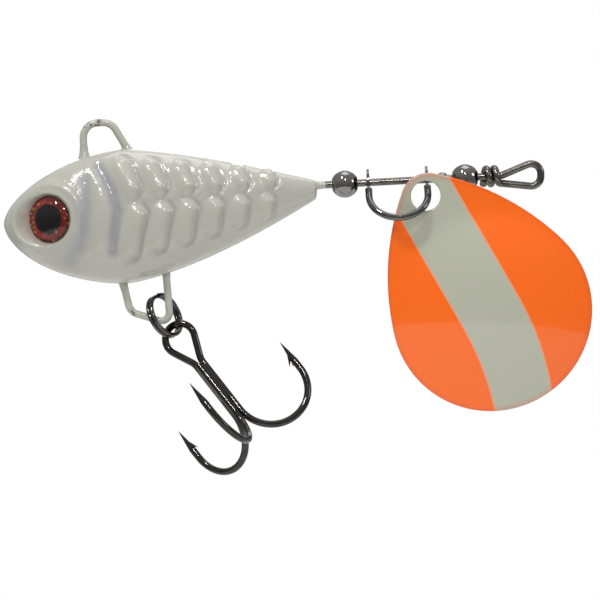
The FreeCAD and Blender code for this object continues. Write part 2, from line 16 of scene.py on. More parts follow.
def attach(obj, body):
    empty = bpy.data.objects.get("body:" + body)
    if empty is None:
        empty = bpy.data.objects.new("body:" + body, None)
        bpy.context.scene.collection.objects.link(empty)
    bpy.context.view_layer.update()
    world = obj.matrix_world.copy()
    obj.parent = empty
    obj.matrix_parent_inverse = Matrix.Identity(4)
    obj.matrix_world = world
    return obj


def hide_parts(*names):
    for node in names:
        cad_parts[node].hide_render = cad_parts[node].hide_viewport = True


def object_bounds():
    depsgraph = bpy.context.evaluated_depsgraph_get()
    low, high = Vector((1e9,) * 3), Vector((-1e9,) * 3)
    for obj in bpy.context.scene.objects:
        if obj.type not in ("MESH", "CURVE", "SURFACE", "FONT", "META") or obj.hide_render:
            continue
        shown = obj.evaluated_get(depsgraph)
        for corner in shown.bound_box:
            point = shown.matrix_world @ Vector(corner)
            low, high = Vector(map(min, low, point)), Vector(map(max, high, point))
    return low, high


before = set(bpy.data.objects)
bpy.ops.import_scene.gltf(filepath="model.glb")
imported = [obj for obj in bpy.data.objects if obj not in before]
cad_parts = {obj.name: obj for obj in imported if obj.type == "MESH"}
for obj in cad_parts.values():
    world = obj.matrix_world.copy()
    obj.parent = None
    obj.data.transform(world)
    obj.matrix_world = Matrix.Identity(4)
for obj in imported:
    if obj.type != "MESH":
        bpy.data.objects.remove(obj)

cad_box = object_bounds()
MM = 0.001
print("nodes", sorted(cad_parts))

# %% [markdown]
# ## The camera
# The lure is seen square on from its left side, from far away through a long lens, so that
# near and far parts are nearly the same size. The camera is rolled by three degrees, which
# lets the tail shaft climb a little to the right.

# %% Camera
VIEW_MIDDLE = Vector((20.11, 0, -18.68)) * MM
VIEW_WIDTH = 64.8 * MM
ROLL = math.radians(3.0)
LENS = 260


def make_camera():
    camera = bpy.data.cameras.new("camera")
    camera.lens = LENS
    camera.sensor_width = 36
    camera.clip_start = 0.01
    holder = bpy.data.objects.new("camera", camera)
    right = Vector((math.cos(ROLL), 0, -math.sin(ROLL)))
    up = Vector((math.sin(ROLL), 0, math.cos(ROLL)))
    back = right.cross(up)
    turned = Matrix((right, up, back)).transposed().to_4x4()
    away = VIEW_WIDTH * LENS / camera.sensor_width
    holder.matrix_world = Matrix.Translation(VIEW_MIDDLE + back * away) @ turned
    bpy.context.scene.collection.objects.link(holder)
    bpy.context.scene.camera = holder
    return away


print("camera stands", round(make_camera(), 3), "m away")

# %% [markdown]
# ## Surfaces from arrays
# Every new piece is a grid of points: one formula of two parameters gives all of them at once,
# and neighbours on the grid make the faces. A grid can close on itself along either parameter.
# Rows that shrink to one point are merged afterwards, so a pole is a neat fan of triangles.

# %% Grid to mesh
def add_surface(name, points, wrap_rows=False, wrap_columns=True, sharp=None, **values):
    """A piece from points[row, column] in millimetres. Each value is a number per vertex."""
    rows, columns = points.shape[:2]
    index = np.arange(rows * columns).reshape(rows, columns)
    if wrap_rows:
        index = np.vstack([index, index[:1]])
    if wrap_columns:
        index = np.hstack([index, index[:, :1]])
    quads = np.stack([index[:-1, :-1], index[1:, :-1], index[1:, 1:], index[:-1, 1:]], axis=-1)
    mesh = bpy.data.meshes.new(name)
    mesh.from_pydata(points.reshape(-1, 3) * MM, [], quads.reshape(-1, 4))
    for word, numbers in values.items():
        layer = mesh.attributes.new(word, "FLOAT", "POINT")
        layer.data.foreach_set("value", np.ascontiguousarray(numbers, dtype=np.float32).ravel())
    work = bmesh.new()
    work.from_mesh(mesh)
    bmesh.ops.remove_doubles(work, verts=work.verts, dist=1e-8)
    bmesh.ops.recalc_face_normals(work, faces=work.faces)
    work.to_mesh(mesh)
    work.free()
    mesh.shade_smooth()
    if sharp is not None:
        mesh.set_sharp_from_angle(angle=math.radians(sharp))
    piece = bpy.data.objects.new(name, mesh)
    bpy.context.scene.collection.objects.link(piece)
    print(name, len(mesh.polygons), "faces")
    return piece


def turned_profile(distances, radii, origin, axis, turns=96):
    """A profile carried round an axis: at each distance along it, a circle of that radius."""
    along = np.array(Vector(axis).normalized())
    first = np.array(Vector(axis).orthogonal().normalized())
    second = np.cross(along, first)
    angle = np.linspace(0, 2 * np.pi, turns, endpoint=False)
    circle = np.cos(angle)[:, None] * first + np.sin(angle)[:, None] * second
    centres = np.array(origin) + np.outer(distances, along)
    return centres[:, None, :] + np.asarray(radii)[:, None, None] * circle[None]


def smooth_step(value, low, high):
    """0 below low, 1 above high and a soft ramp between."""
    share = np.clip((value - low) / (high - low), 0, 1)
    return share * share * (3 - 2 * share)


# %% [markdown]
# ## The cast body
# The real body is lead, cast in a two-part mould, dipped in gloss paint. Its sides carry a gill
# line and two rows of ribs, softened by the paint. A subdivision cage would need hundreds of
# hand-placed points for these, so the body is worked out as an oval carried from nose to tail,
# and the relief is a height added along the surface's normal.

# %% Outline of the body
NOSE = -11.4
DEEPEST = 1.6
TAIL = 22.2
NOSE_HEIGHT = -8.8
BACK, BELLY, THICKNESS = -1.33, -15.9, 8.2
TAIL_TOP, TAIL_BOTTOM, TAIL_THICKNESS = -5.75, -8.0, 1.7
# powers of the curves, first towards the nose and then towards the tail
BACK_POWERS, BELLY_POWERS, SIDE_POWERS = (1.6, 1.4), (1.8, 1.45), (1.9, 1.7)


def body_outline(x):
    """Top, bottom and thickness at stations x.

    A superellipse leads to the nose, and a power curve to the tail.
    """
    ahead = np.clip((DEEPEST - x) / (DEEPEST - NOSE), 0, 1)
    behind = np.clip((x - DEEPEST) / (TAIL - DEEPEST), 0, 1)

    def curve(powers, nose, deepest, tail):
        swell = (1 - ahead ** powers[0]) ** (1 / powers[0])
        taper = behind ** powers[1]
        return np.where(x < DEEPEST, nose + (deepest - nose) * swell,
                        deepest + (tail - deepest) * taper)

    top = curve(BACK_POWERS, NOSE_HEIGHT, BACK, TAIL_TOP)
    bottom = curve(BELLY_POWERS, NOSE_HEIGHT, BELLY, TAIL_BOTTOM)
    thick = curve(SIDE_POWERS, 0, THICKNESS, TAIL_THICKNESS)
    return top, bottom, thick


NOSE_ROWS, TAIL_ROWS, CAP_ROWS = 164, 214, 14
AROUND = 240
CAP_BULGE = 0.35
FULLNESS = 2.15  # 2 is an ellipse, and more gives fuller flanks


def body_grid():
    """Ovals at stations crowded towards the nose, and a few that close the blunt tail."""
    lean_in = np.linspace(np.pi / 2, 0, NOSE_ROWS, endpoint=False)
    ahead = DEEPEST - (DEEPEST - NOSE) * np.sin(lean_in)
    behind = np.linspace(DEEPEST, TAIL, TAIL_ROWS)
    x = np.concatenate([ahead, behind])
    top, bottom, thick = body_outline(x)
    close = np.linspace(0, np.pi / 2, CAP_ROWS + 1)[1:]
    x = np.concatenate([x, TAIL + CAP_BULGE * np.sin(close)])
    shrink = np.cos(close)
    middle = (top[-1] + bottom[-1]) / 2
    top = np.concatenate([top, middle + (top[-1] - middle) * shrink])
    bottom = np.concatenate([bottom, middle + (bottom[-1] - middle) * shrink])
    thick = np.concatenate([thick, thick[-1] * shrink])
    angle = np.linspace(0, 2 * np.pi, AROUND, endpoint=False)
    side, rise = np.cos(angle), np.sin(angle)
    fuller = 2 / FULLNESS
    side = np.sign(side) * np.abs(side) ** fuller
    rise = np.sign(rise) * np.abs(rise) ** fuller
    points = np.empty((len(x), AROUND, 3))
    points[..., 0] = x[:, None]
    points[..., 1] = thick[:, None] / 2 * side
    points[..., 2] = ((top + bottom) / 2)[:, None] + ((top - bottom) / 2)[:, None] * rise
    return points


def outward(points):
    """Unit normals of a body grid, from the cross product of its two directions of travel."""
    along = np.gradient(points, axis=0)
    wrapped = np.concatenate([points[:, -1:], points, points[:, :1]], axis=1)
    around = np.gradient(wrapped, axis=1)[:, 1:-1]
    normal = np.cross(around, along)
    length = np.linalg.norm(normal, axis=-1, keepdims=True)
    return normal / np.maximum(length, 1e-9)


skin = body_grid()
print("body grid", skin.shape, "x", skin[..., 0].min(), skin[..., 0].max())

# %% Relief on the sides
RIBS = 6
RIB_HALF_WIDTH = 0.78
RIB_RISE = 0.5
RIB_MOAT = 0.15
CREST, MOAT_PLACE, MOAT_SPREAD = 0.15, 1.3, 0.34  # in half widths of the rib
SIDE_FACING = 0.25, 0.6  # the relief fades in as the skin turns towards the side


def from_segment(x, z, start, end):
    """Distance of each point from a segment: from the nearest place that lies on it."""
    run = np.array(end) - np.array(start)
    share = ((x - start[0]) * run[0] + (z - start[1]) * run[1]) / (run @ run)
    share = np.clip(share, 0, 1)
    return np.hypot(x - start[0] - share * run[0], z - start[1] - share * run[1])


def rib(x, z, middle, length, lean, half_width):
    """A raised welt round a segment, less a shallow moat along its foot on the tail side."""
    lean = math.radians(lean)
    half = np.array([math.sin(lean), math.cos(lean)]) * (length / 2 - half_width)
    distance = from_segment(x, z, middle - half, middle + half)
    # the side towards the nose slopes gently, and the side towards the tail is steep
    behind = (x - middle[0]) * half[1] - (z - middle[1]) * half[0]
    behind = smooth_step(behind / np.hypot(*half), -half_width, half_width)
    distance = distance / (half_width * (1.3 - 0.35 * behind))
    welt = 1 - smooth_step(distance, CREST, 1.2 + 0.25 * (1 - behind))
    moat = np.exp(-(((distance - MOAT_PLACE) / MOAT_SPREAD) ** 2)) * behind
    return RIB_RISE * welt - RIB_MOAT * moat


def groove(x, z, points, width):
    """A soft band that follows a run of points: a bell curve of the distance from it."""
    pairs = zip(points[:-1], points[1:])
    distance = np.min([from_segment(x, z, a, b) for a, b in pairs], axis=0)
    return np.exp(-((distance / width) ** 2))


# each row of ribs runs from its first values to its last: station, height, length and lean;
# towards the tail the ribs get slimmer and lower
FIRST_RIB, SLIMMING, FADING = 1.12, 0.3, 0.25
UPPER_ROW = np.array([2.25, -4.55, 4.5, -24]), np.array([17.55, -5.17, 2.2, -18])
LOWER_ROW = np.array([2.75, -10.6, 5.7, 18]), np.array([17.25, -8.5, 2.4, 14])
# channels and swellings: height, half width and the points that they follow
CHANNELS = {
    "gill": (-0.3, 0.62, [(-0.75, -3.3), (0.6, -6.0), (1.05, -8.2), (0.35, -12.4)]),
    "cheek": (-0.2, 0.8, [(-2.3, -4.7), (-2.3, -7.8), (-2.65, -10.3), (-4.2, -13.3)]),
    "gill plate": (0.14, 0.7, [(-0.9, -5.2), (-0.75, -8.6), (-1.2, -12.2)]),
    "side line": (-0.06, 0.9, [(3.0, -7.25), (19.5, -6.9)]),
}


def side_relief(x, z):
    """Height of the relief in millimetres, the same on both sides of the fish."""
    height = np.zeros_like(x)
    for share in np.linspace(0, 1, RIBS):
        half_width = RIB_HALF_WIDTH * (FIRST_RIB - SLIMMING * share)
        fade = 1 - FADING * share
        for first, last in (UPPER_ROW, LOWER_ROW):
            station, level, length, lean = first + (last - first) * share
            middle = np.array([station, level])
            height += fade * rib(x, z, middle, length, lean, half_width)
    for rise, width, points in CHANNELS.values():
        height += rise * groove(x, z, points, width)
    return height


normals = outward(skin)
on_side = smooth_step(np.abs(normals[..., 1]), *SIDE_FACING)
relief = side_relief(skin[..., 0], skin[..., 2]) * on_side
skin_relief = skin + normals * relief[..., None]
print("relief from", round(relief.min(), 3), "to", round(relief.max(), 3), "mm")

# %% [markdown]
# ## Eye sockets
# Each eye sits at the bottom of a flared pocket that faces a little forward. The skin near an
# eye is moved along the eye's own axis down to the pocket's wall, which keeps the grid whole:
# a boolean cut would leave ragged triangles along the rim. A low raised lip runs round it.

# %% Sockets
EYE_RADIUS = 2.5
EYE_TURN = math.radians(28.0)
EYE_SEAT = (-6.3, 2.3, -8.6)
SEAT_RADIUS = EYE_RADIUS + 0.08
SEAT_SINK = 0.03
WALL_SLOPE, NOSE_SLOPE = 2.1, 1.05  # the wall is flatter towards the nose
REACH = 4.6  # how far from the eye's axis the skin is moved
RIM_RADIUS, RIM_RISE, RIM_WIDTH = 3.75, 0.2, 0.42
SOFTENING = 0.16


def eye_axis(side):
    """The seat's middle and the way out of it; side is -1 on the left, 1 on the right."""
    seat = np.array([EYE_SEAT[0], side * EYE_SEAT[1], EYE_SEAT[2]])
    return seat, np.array([-math.sin(EYE_TURN), side * math.cos(EYE_TURN), 0.0])


def sink_socket(points, side):
    """Lowers the skin to the smaller of its own height and the pocket's height over the seat."""
    seat, way = eye_axis(side)
    offset = points - seat
    height = offset @ way
    radius = np.linalg.norm(offset - height[..., None] * way, axis=-1)
    nosewards = np.array([-math.cos(EYE_TURN), -side * math.sin(EYE_TURN), 0.0])
    forward = np.clip(offset @ nosewards / np.maximum(radius, 1e-6), 0, 1)
    steep = WALL_SLOPE + (NOSE_SLOPE - WALL_SLOPE) * forward
    wall = np.where(radius < SEAT_RADIUS, -SEAT_SINK, (radius - SEAT_RADIUS) * steep)
    gap = np.clip((wall - height) / SOFTENING, -30, 30)
    blended = height - SOFTENING * np.log1p(np.exp(-gap))
    facing = (height > -0.5) & (radius < REACH)
    lip = RIM_RISE * np.exp(-(((radius - RIM_RADIUS) / RIM_WIDTH) ** 2))
    moved = points + ((blended - height + lip) * facing)[..., None] * way
    return np.where(facing[..., None], moved, points), np.where(facing, height - blended, 0)


socketed, left_depth = sink_socket(skin_relief, -1)
socketed, right_depth = sink_socket(socketed, 1)
depth = np.maximum(left_depth, right_depth)
cast_body = add_surface("cast_body", socketed, relief=relief, pocket=np.clip(depth, 0, 3))
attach(cast_body, "lure_body")
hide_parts("body_casting")

# %% [markdown]
# ## Paint collars
# Dipping leaves a small trumpet of paint wherever the wire leaves the lead. Each collar is a
# flared profile turned about the wire, with its wide end sunk in the body.

# %% Collars
WIRE_RADIUS = 0.4
PAINT_FILM = 0.03


def add_collar(name, foot, way, length, wide):
    """Radius falls from wide to the painted wire's, fast at the foot and then ever slower."""
    share = np.linspace(0, 1, 18)
    wire = WIRE_RADIUS + PAINT_FILM
    radii = wire + (wide - wire) * (1 - np.sin(share * np.pi / 2))
    distances = share * length
    distances = np.concatenate([[distances[0]], distances, [distances[-1]]])
    radii = np.concatenate([[0.0], radii, [0.0]])
    collar = add_surface(name, turned_profile(distances, radii, foot, way, turns=48), sharp=50)
    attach(collar, "lure_body")
    return collar


collars = [
    add_collar("collar_tie_front", (-2.35, 0, -3.0), (0, 0, 1), 2.1, 1.0),
    add_collar("collar_tie_back", (3.12, 0, -2.9), (-0.53, 0, 1), 2.4, 1.25),
    add_collar("collar_hanger_front", (0.9, 0, -14.55), (0.186, 0, -1), 2.1, 0.8),
    add_collar("collar_hanger_back", (5.77, 0, -13.3), (0.032, 0, -1), 2.2, 0.8),
    add_collar("collar_tail", (21.6, 0, -6.4), (1, 0, 0), 1.6, 0.72),
]

# %% [markdown]
# ## Eyes
# A printed foil disc lies on the seat and a drop of clear resin domes over it. Both are
# profiles turned about the eye's axis. The foil carries its distance from the middle as a
# number at each vertex, and the print is painted from that.

# %% Foil and dome
FOIL_THICKNESS = 0.12
DOME_RISE = 0.95
FOIL_RINGS, DOME_RINGS = 30, 40


def add_foil(word, seat, way):
    """Out along the top face and back along the underside, closed at the middle."""
    ring = np.linspace(0, 1, FOIL_RINGS) * EYE_RADIUS
    radii = np.concatenate([ring, ring[::-1]])
    distances = np.repeat([FOIL_THICKNESS, 0.0], FOIL_RINGS)
    points = turned_profile(distances, radii, seat, way)
    away = np.repeat(radii[:, None] / EYE_RADIUS, points.shape[1], axis=1)
    return add_surface(f"eye_print_{word}", points, sharp=40, from_middle=away)


def add_dome(word, seat, way):
    """A cap of the sphere that rises by DOME_RISE over the foil, closed by a flat base."""
    ball = (EYE_RADIUS**2 + DOME_RISE**2) / (2 * DOME_RISE)
    swing = np.linspace(0, math.asin(EYE_RADIUS / ball), DOME_RINGS)
    heights = ball * np.cos(swing) - ball + DOME_RISE + FOIL_THICKNESS
    radii = np.concatenate([ball * np.sin(swing), [0.0]])
    distances = np.concatenate([heights, [FOIL_THICKNESS]])
    return add_surface(f"eye_resin_{word}", turned_profile(distances, radii, seat, way), sharp=25)


def add_eye(side, word):
    seat, way = eye_axis(side)
    foil = add_foil(word, seat, way)
    dome = add_dome(word, seat, way)
    for piece, part in ((foil, "eye_foil"), (dome, "eye_dome")):
        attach(piece, "lure_body")
        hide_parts(f"{part}_{word}")
    return foil, dome


left_foil, left_dome = add_eye(-1, "left")
right_foil, right_dome = add_eye(1, "right")

# %% [markdown]
# ## Beads
# The beads are turned and plated brass. A drilled bead has a small countersink at each mouth,
# so the profile is the ball's arc, a chamfer at each end and the bore.

# %% Beads on the shaft
SHAFT_HEIGHT = -6.4
CHAMFER_WIDTH, CHAMFER_DEPTH = 0.13, 0.12
RUNNING_BORE = 0.49


def add_bead(name, replaced, body, station, radius, bore):
    """Ball, chamfers and bore as one closed profile about the shaft."""
    start = math.asin((bore + CHAMFER_WIDTH) / radius)
    arc = np.linspace(start, np.pi - start, 64)
    distances = -radius * np.cos(arc)
    radii = radius * np.sin(arc)
    inner = np.linspace(distances[-1] - CHAMFER_DEPTH, distances[0] + CHAMFER_DEPTH, 8)
    distances = np.concatenate([distances, inner])
    radii = np.concatenate([radii, np.full(len(inner), bore)])
    points = turned_profile(distances, radii, (station, 0, SHAFT_HEIGHT), (1, 0, 0))
    bead = add_surface(name, points, wrap_rows=True, sharp=30)
    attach(bead, body)
    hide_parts(replaced)
    return bead


beads = [
    add_bead("plated_bead_front", "front_bead", "front_bead", 25.6, 1.5, RUNNING_BORE),
    add_bead("plated_bead_stop", "spacer_bead", "lure_body", 36.15, 0.725, WIRE_RADIUS),
    add_bead("plated_bead_rear", "rear_bead", "rear_bead", 38.6, 1.5, RUNNING_BORE),
]

# %% [markdown]
# ## The blade
# The blade is stamped from thin brass sheet: nearly round at the wide end, hollow like a spoon
# and almost flat at its edge. The grid runs outwards from the hole to the outline on the front,
# over the rounded rim, back on the inner face and round the hole's edge.

# %% Blade outline and dish
BLADE_LENGTH, BLADE_WIDTH, BLADE_THICKNESS = 28.0, 21.8, 0.45
HOLE_RADIUS, HOLE_SETBACK = 1.6, 2.45
HOLE_PLACE = np.array([34.2, -1.95, -8.2])
BLADE_SWING, BLADE_TIP = math.radians(27.2), math.radians(10.0)
SHOULDER, FLANK = 2.9, 28.0  # radii of the narrow end and of each side
DISH, LIP = 28.0, 7.0  # radii of the bowl and of the arc that flattens its edge
LIP_REACH = 1.2  # that arc would be flat this far past the outline
BAND_HALF_WIDTH, BAND_OFFSET, BAND_BEND, BEND_START = 3.35, 0.22, 0.014, 14
BIG = BLADE_WIDTH / 2
BIG_MIDDLE = BLADE_LENGTH - HOLE_SETBACK - BIG
SMALL_MIDDLE = SHOULDER - HOLE_SETBACK


def outline_radius(angle):
    """Distance from the hole's middle to the outline: two end circles and a long arc between."""
    between = BIG_MIDDLE - SMALL_MIDDLE
    to_small, to_big = FLANK - SHOULDER, FLANK - BIG
    along = (to_small**2 - to_big**2 + between**2) / (2 * between)
    down = math.sqrt(to_small**2 - along**2)
    centre = np.array([SMALL_MIDDLE + along, -down])
    to_small_touch = math.atan2(down, -along)
    to_big_touch = math.atan2(down, between - along)
    small_arc = np.linspace(np.pi, to_small_touch, 120)
    flank_arc = np.linspace(to_small_touch, to_big_touch, 400)
    big_arc = np.linspace(to_big_touch, 0, 400)
    x = np.concatenate([SMALL_MIDDLE + SHOULDER * np.cos(small_arc),
                        centre[0] + FLANK * np.cos(flank_arc),
                        BIG_MIDDLE + BIG * np.cos(big_arc)])
    y = np.concatenate([SHOULDER * np.sin(small_arc),
                        centre[1] + FLANK * np.sin(flank_arc),
                        BIG * np.sin(big_arc)])
    bearing = np.arctan2(y, x)[::-1]
    reach = np.hypot(x, y)[::-1]
    folded = np.abs((angle + np.pi) % (2 * np.pi) - np.pi)
    return np.interp(folded, bearing, reach)


def dish_height(x, y):
    """A sphere's cap in the middle, and round it an arc that flattens towards the edge."""
    rim = BIG + LIP_REACH
    slope = math.asin(rim / (DISH + LIP))
    touch = DISH * math.sin(slope)
    drop = (DISH + LIP) * math.cos(slope) - LIP
    distance = np.minimum(np.hypot(x - BIG_MIDDLE, y), rim)
    bowl = np.sqrt(DISH**2 - np.minimum(distance, touch) ** 2) - drop
    lip = LIP - np.sqrt(LIP**2 - (rim - np.maximum(distance, touch)) ** 2)
    return np.where(distance < touch, bowl, lip)


def blade_axes():
    """The hole's middle, then the ways towards the wide end, across and out of the front."""
    flat = math.cos(BLADE_TIP)
    long_way = np.array([math.sin(BLADE_SWING) * flat, math.sin(BLADE_TIP),
                         -math.cos(BLADE_SWING) * flat])
    cross = np.array([math.cos(BLADE_SWING), 0, math.sin(BLADE_SWING)])
    front = np.cross(long_way, cross)
    front /= np.linalg.norm(front)
    return HOLE_PLACE, long_way, np.cross(front, long_way), front


def blade_surface(columns=288, steps=72, corner=7):
    """Closed grid: face out, rim, inner face back, hole's edge. Offsets follow half circles."""
    angle = np.linspace(0, 2 * np.pi, columns, endpoint=False)
    outline = outline_radius(angle)
    half = BLADE_THICKNESS / 2
    share = np.linspace(0, 1, steps)
    turn = np.linspace(0, np.pi, corner + 2)[1:-1]
    inner, outer = np.full(columns, HOLE_RADIUS + half), outline - half
    face = inner + share[:, None] * (outer - inner)
    round_off = half * np.sin(turn)[:, None]
    reach = np.concatenate([face, outer + round_off, face[::-1], inner - round_off])
    flat, rolled = np.full(steps, half), half * np.cos(turn)
    offset = np.concatenate([flat, rolled, -flat, -rolled])[:, None]
    x, y = reach * np.cos(angle), reach * np.sin(angle)
    small = 0.01
    rise_x = (dish_height(x + small, y) - dish_height(x - small, y)) / (2 * small)
    rise_y = (dish_height(x, y + small) - dish_height(x, y - small)) / (2 * small)
    steep = np.sqrt(1 + rise_x**2 + rise_y**2)
    local = np.stack([x - offset * rise_x / steep, y - offset * rise_y / steep,
                      dish_height(x, y) + offset / steep], axis=-1)
    bend = BAND_OFFSET + BAND_BEND * np.maximum(x - BEND_START, 0) ** 2
    band = np.abs(y + bend) - BAND_HALF_WIDTH
    front = np.broadcast_to(offset > -half * 0.5, x.shape).astype(float)
    edge = outline[None] - reach
    origin, *axes = blade_axes()
    return origin + local @ np.array(axes), band, front, edge


points, band, front, edge = blade_surface()
blade = add_surface("painted_blade", points, wrap_rows=True,
                    from_band=band, front_face=front, from_edge=edge)
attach(blade, "blade")
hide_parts("spinner_blade")

# %% [markdown]
# ## Barbs
# A barb is cut into the inner side of each point with a chisel and lifted, so it is a sliver
# that leans away from the tip. The frame's barbs are only stubs; each gets a longer sliver, a
# thin cone with a full root, set in the hook's own directions.

# %% Barbs on the treble hook
HOOK_MIDDLE = np.array([6.959, 0.0, -22.208])
HOOK_LEAN, HOOK_TILT, HOOK_ROLL = (math.radians(turn) for turn in (35.5, 13.5, 12.0))
SHANK_REACH = 0.485
HOOK_GAPE = 8.2
BARB_ROOT = -8.25
BARB_LIFT = math.radians(35.0)
BARB_LENGTH, BARB_RADIUS = 1.5, 0.25


def hook_axes():
    """Across the hook's eye, square to that, and up the shank from the bends to the eye."""
    level = np.array([math.sin(HOOK_LEAN), 0, -math.cos(HOOK_LEAN)])
    left = np.array([0.0, -1.0, 0.0])
    side = np.array([math.cos(HOOK_LEAN), 0, math.sin(HOOK_LEAN)])
    up = -level * math.cos(HOOK_TILT) - left * math.sin(HOOK_TILT)
    leaning = left * math.cos(HOOK_TILT) - level * math.sin(HOOK_TILT)
    across = -side * math.cos(HOOK_ROLL) - leaning * math.sin(HOOK_ROLL)
    return across, np.cross(up, across), up


def add_barb(number, degrees):
    """A cone whose radius falls along its length, from inside the point out and backwards."""
    across, square, up = hook_axes()
    angle = math.radians(degrees)
    way = across * math.cos(angle) + square * math.sin(angle)
    shank = HOOK_MIDDLE + square * SHANK_REACH / 2 + way * SHANK_REACH
    root = shank + way * HOOK_GAPE + up * BARB_ROOT
    back = -up * math.cos(BARB_LIFT) - way * math.sin(BARB_LIFT)
    share = np.linspace(0, 1, 16)
    radii = np.concatenate([[0.0], BARB_RADIUS * (1 - share) ** 0.8])
    distances = np.concatenate([[0.0], BARB_LENGTH * share])
    barb = add_surface(f"barb_{number}", turned_profile(distances, radii, root, back, turns=28))
    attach(barb, "treble_hook")
    return barb


barbs = [add_barb(number, degrees) for number, degrees in enumerate((-30, 210, 90), start=1)]

# %% [markdown]
# ## Finishes
# Each finish is a small network of nodes on a Principled shader. A helper adds a node, sets its
# values and links its inputs, so that a finish reads from top to bottom like a recipe.

# %% Node helpers
def new_finish(name, **shader):
    """An empty material with its main shader; values that don't vary go straight on the sockets."""
    finish = bpy.data.materials.new(name)
    finish.use_nodes = True
    main = finish.node_tree.nodes["Principled BSDF"]
    for word, value in shader.items():
        main.inputs[word.replace("_", " ")].default_value = value
    return finish, main


def node(finish, kind, inputs=None, **settings):
    """Adds a node; each input is given a value, or a socket to link."""
    added = finish.node_tree.nodes.new(kind)
    for word, value in settings.items():
        setattr(added, word, value)
    for key, value in (inputs or {}).items():
        if isinstance(value, bpy.types.NodeSocket):
            finish.node_tree.links.new(value, added.inputs[key])
        else:
            added.inputs[key].default_value = value
    return added


def attribute(finish, name):
    return node(finish, "ShaderNodeAttribute", attribute_name=name).outputs["Fac"]


def ramp(finish, factor, *stops):
    """A colour for each value: stops are pairs of a value from 0 to 1 and its colour."""
    added = node(finish, "ShaderNodeValToRGB", {"Fac": factor})
    elements = added.color_ramp.elements
    while len(elements) < len(stops):
        elements.new(0.5)
    for element, (place, colour) in zip(elements, stops):
        element.position = place
        element.color = (*colour, 1)
    return added.outputs["Color"]


def between(finish, value, low, high):
    """0 at low, 1 at high, held outside."""
    return node(finish, "ShaderNodeMapRange",
                {"Value": value, "From Min": low, "From Max": high}).outputs["Result"]


def mixed(finish, factor, first, second):
    """The first colour at factor 0 and the second at 1; inputs 6 and 7 are the node's colours."""
    added = node(finish, "ShaderNodeMix", data_type="RGBA")
    links = finish.node_tree.links
    for number, value in ((0, factor), (6, first), (7, second)):
        if isinstance(value, bpy.types.NodeSocket):
            links.new(value, added.inputs[number])
        elif number == 0:
            added.inputs[number].default_value = value
        else:
            added.inputs[number].default_value = (*value, 1)
    return added.outputs[2]


def noise(finish, scale, detail=3.0, roughness=0.5):
    """Clouds of the given number per metre, fixed to the piece."""
    place = node(finish, "ShaderNodeTexCoord").outputs["Object"]
    return node(finish, "ShaderNodeTexNoise", {"Vector": place, "Scale": scale, "Detail": detail,
                                               "Roughness": roughness}).outputs["Fac"]


def bump(finish, height, distance, strength):
    """A normal that leans with the height, as if it rose by the distance in metres."""
    return node(finish, "ShaderNodeBump", {"Height": height, "Distance": distance,
                                           "Strength": strength}).outputs["Normal"]


def multiplied(finish, first, second):
    return node(finish, "ShaderNodeMath", {0: first, 1: second}, operation="MULTIPLY").outputs[0]


def larger(finish, first, second):
    return node(finish, "ShaderNodeMath", {0: first, 1: second}, operation="MAXIMUM").outputs[0]


def link(finish, output, main, socket):
    finish.node_tree.links.new(output, main.inputs[socket])


def wear(piece, finish):
    """Puts one finish on a piece, in every slot that it has."""
    materials = piece.data.materials
    if not len(materials):
        materials.append(finish)
    for number in range(len(materials)):
        materials[number] = finish


# %% [markdown]
# ## Gloss paint on lead
# Off-white dip paint. The hollows of the relief get painted shade, a greyer and bluer colour.
# The pocket of the eye is painted darker and warmer: painted shade and a painted reflection of
# the foil's red. A fine ripple breaks up the highlights, as it does on a dipped casting.

# %% Paint
PAINT = (0.46, 0.46, 0.40)
# painted shade: the greyer, bluer colour given to the hollows of the relief
PAINT_HOLLOW_SHADE = (0.33, 0.33, 0.345)
# painted shade and a painted red reflection of the foil, for the eye's pocket
PAINT_POCKET_SHADE_AND_REFLECTION = (0.40, 0.31, 0.27)


def paint_finish():
    finish, main = new_finish("gloss_paint", Roughness=0.2, Coat_Weight=0.6, Coat_Roughness=0.07)
    relief_height = attribute(finish, "relief")
    # painted shade, growing as the relief dips below the skin
    hollow_shade = between(finish, relief_height, 0.0, -0.24)
    clouds = noise(finish, 260, 3)
    shade = ramp(finish, clouds, (0.3, PAINT), (0.8, tuple(c * 0.93 for c in PAINT)))
    shade = mixed(finish, hollow_shade, shade, PAINT_HOLLOW_SHADE)
    # painted shade and painted red reflection, growing with the depth of the eye's pocket
    pocket = between(finish, attribute(finish, "pocket"), 0.1, 1.0)
    shade = mixed(finish, pocket, shade, PAINT_POCKET_SHADE_AND_REFLECTION)
    link(finish, shade, main, "Base Color")
    ripple = noise(finish, 1500, 3, 0.6)
    link(finish, bump(finish, ripple, 0.00012, 0.6), main, "Normal")
    return finish


paint = paint_finish()
for piece in (cast_body, *collars):
    wear(piece, paint)

# %% [markdown]
# ## The eye's print
# The foil shows a black pupil, a red iris with flecks of gold that catch the light, and a dark
# rim. The flecks are small cells, bright only where a second noise allows.

